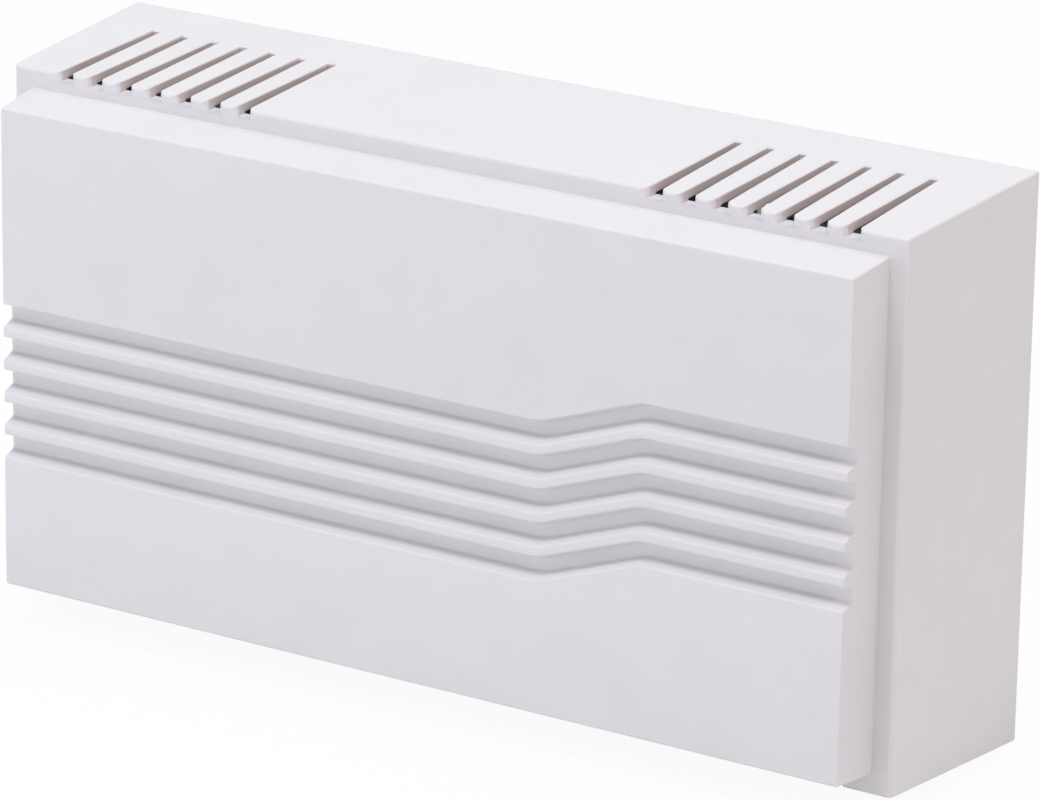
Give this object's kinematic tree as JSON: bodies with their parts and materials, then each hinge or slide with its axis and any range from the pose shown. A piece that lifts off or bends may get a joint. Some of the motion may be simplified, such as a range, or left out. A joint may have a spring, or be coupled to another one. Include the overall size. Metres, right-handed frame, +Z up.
{
  "type": "doorbell chime box",
  "caption": "Wall-hung doorbell chime: white moulded cover with a raised wavy-grooved panel and vent slots over solenoid plungers that strike tone bars.",
  "frame": {"origin": "centre of the base plate's back face, on the wall plane", "axes": "+X to the right seen from the room, +Y into the wall, +Z up"},
  "size_m": [0.2, 0.0554, 0.111],
  "materials": {
    "cover_abs": "moulded satin white",
    "base_abs": "moulded fine-grained off-white",
    "block_phenolic": "moulded black phenolic",
    "terminal_brass": "stamped",
    "terminal_screw_brass": "turned",
    "clamp_zinc": "zinc plated",
    "zinc_screw": "zinc plated",
    "frame_steel": "zinc plated strip",
    "bobbin_nylon": "moulded natural nylon",
    "winding_copper": "enamelled copper wire",
    "core_steel": "ground bright steel",
    "striker_nylon": "turned white nylon",
    "clip_steel": "blackened spring steel",
    "spring_steel": "drawn wire",
    "pad_felt": "pressed wool felt",
    "bar_steel": "nickel plated, lengthwise brushed",
    "grommet_rubber": "moulded",
    "lead_red": "extruded insulation",
    "lead_white": "extruded insulation",
    "lead_blue": "extruded insulation"
  },
  "bodies": {
    "base": {"base_plate": "base_abs", "terminal_block": "block_phenolic", "terminal_plates": "terminal_brass", "terminal_block_screws": "zinc_screw", "coil_frame_screws": "zinc_screw", "rear_return_pad": "pad_felt", "low_tone_bar": "bar_steel", "high_tone_bar": "bar_steel", "low_bar_grommets": "grommet_rubber", "high_bar_grommets": "grommet_rubber", "low_bar_screws": "zinc_screw", "high_bar_screws": "zinc_screw", "front_lead": "lead_red", "common_lead": "lead_white", "rear_lead": "lead_blue", "coil_jumper": "lead_white", "front_coil_frame": "frame_steel", "front_coil_bobbin": "bobbin_nylon", "front_coil_winding": "winding_copper", "front_spring": "spring_steel", "rear_coil_frame": "frame_steel", "rear_coil_bobbin": "bobbin_nylon", "rear_coil_winding": "winding_copper", "rear_spring": "spring_steel"},
    "cover": {"cover": "cover_abs"},
    "front_plunger": {"front_plunger_core": "core_steel", "front_striker_left": "striker_nylon", "front_striker_right": "striker_nylon", "front_spring_collar": "striker_nylon", "front_spring_clip": "clip_steel"},
    "rear_plunger": {"rear_plunger_core": "core_steel", "rear_striker_left": "striker_nylon", "rear_striker_right": "striker_nylon", "rear_spring_collar": "striker_nylon", "rear_spring_clip": "clip_steel"},
    "front_washer": {"front_clamp": "clamp_zinc"},
    "front_screw": {"front_terminal_screw": "terminal_screw_brass"},
    "common_washer": {"common_clamp": "clamp_zinc"},
    "common_screw": {"common_terminal_screw": "terminal_screw_brass"},
    "rear_washer": {"rear_clamp": "clamp_zinc"},
    "rear_screw": {"rear_terminal_screw": "terminal_screw_brass"}
  },
  "joints": [
    {"name": "cover_pull", "type": "slide", "parent": "base", "child": "cover", "axis": [0, -1, 0], "range_m": [0, 0.08]},
    {"name": "front_plunger_slide", "type": "slide", "parent": "base", "child": "front_plunger", "axis": [1, 0, 0], "range_m": [-0.006, 0.008], "stiffness_N_per_m": 60, "deforming": ["front_spring"]},
    {"name": "rear_plunger_slide", "type": "slide", "parent": "base", "child": "rear_plunger", "axis": [1, 0, 0], "range_m": [0, 0.008], "stiffness_N_per_m": 60, "springref_m": -0.002, "deforming": ["rear_spring"]},
    {"name": "front_washer_lift", "type": "slide", "parent": "base", "child": "front_washer", "axis": [0, -1, 0], "range_m": [0, 0.0018]},
    {"name": "front_screw_turn", "type": "hinge", "parent": "front_washer", "child": "front_screw", "pos_m": [-0.013, -0.0163, 0.04105], "axis": [0, -1, 0], "range_deg": [0, 1080]},
    {"name": "common_washer_lift", "type": "slide", "parent": "base", "child": "common_washer", "axis": [0, -1, 0], "range_m": [0, 0.0018]},
    {"name": "common_screw_turn", "type": "hinge", "parent": "common_washer", "child": "common_screw", "pos_m": [0, -0.0163, 0.04105], "axis": [0, -1, 0], "range_deg": [0, 1080]},
    {"name": "rear_washer_lift", "type": "slide", "parent": "base", "child": "rear_washer", "axis": [0, -1, 0], "range_m": [0, 0.0018]},
    {"name": "rear_screw_turn", "type": "hinge", "parent": "rear_washer", "child": "rear_screw", "pos_m": [0.013, -0.0163, 0.04105], "axis": [0, -1, 0], "range_deg": [0, 1080]}
  ],
  "couplings": [
    {"joint": "front_screw_turn", "follows": "front_washer_lift", "rad_per_m": 10472},
    {"joint": "common_screw_turn", "follows": "common_washer_lift", "rad_per_m": 10472},
    {"joint": "rear_screw_turn", "follows": "rear_washer_lift", "rad_per_m": 10472}
  ]
}
